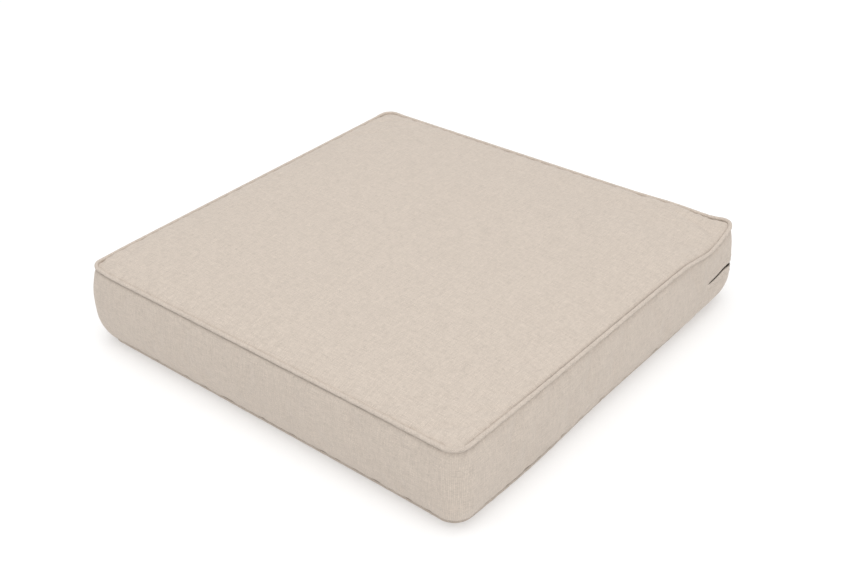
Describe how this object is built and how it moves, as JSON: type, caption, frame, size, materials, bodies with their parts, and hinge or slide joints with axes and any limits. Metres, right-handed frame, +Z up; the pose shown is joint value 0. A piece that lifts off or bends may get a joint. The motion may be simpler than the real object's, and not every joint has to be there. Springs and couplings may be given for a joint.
{
  "type": "box seat cushion",
  "caption": "Square box-edged seat cushion: foam slab in a piped fabric cover, with a zip across the back whose slider runs and whose pull swings.",
  "frame": {"origin": "middle of the underside, on the surface that the cushion lies on", "axes": "+Z up; +X towards the right-hand side, seen from the front; -Y towards the front, so the zip is on the +Y side"},
  "size_m": [0.6164, 0.6006, 0.1216],
  "materials": {
    "cover_fabric": "plain-weave outdoor cloth, natural beige",
    "piping_cord": "braided white cord",
    "sewing_thread": "bonded polyester thread, beige",
    "zip_tape": "woven polyester tape, beige",
    "zip_coil": "moulded nylon coil, beige",
    "zip_metal": "enamelled zinc alloy, beige",
    "foam": "open-cell polyurethane foam, cream",
    "fibre": "lofted polyester fibre, white"
  },
  "bodies": {
    "cushion": {"top_panel": "cover_fabric", "bottom_panel": "cover_fabric", "boxing": "cover_fabric", "top_piping_cover": "cover_fabric", "top_piping_cord": "piping_cord", "top_seam_thread": "sewing_thread", "bottom_piping_cover": "cover_fabric", "bottom_piping_cord": "piping_cord", "bottom_seam_thread": "sewing_thread", "zip_tape_upper": "zip_tape", "zip_tape_lower": "zip_tape", "zip_coil_upper": "zip_coil", "zip_coil_lower": "zip_coil", "zip_topstitch_upper": "sewing_thread", "zip_topstitch_lower": "sewing_thread", "zip_bartacks": "sewing_thread", "foam_core": "foam", "fibre_wrap": "fibre"},
    "slider": {"zip_slider": "zip_metal"},
    "pull": {"zip_pull": "zip_metal"}
  },
  "joints": [
    {"name": "slider_run", "type": "slide", "parent": "cushion", "child": "slider", "axis": [1, 0, 0], "range_m": [0, 0.514]},
    {"name": "pull_swing", "type": "hinge", "parent": "slider", "child": "pull", "pos_m": [-0.254, 0.29935, 0.0584], "axis": [0, 0, 1], "range_deg": [0, 170]}
  ]
}
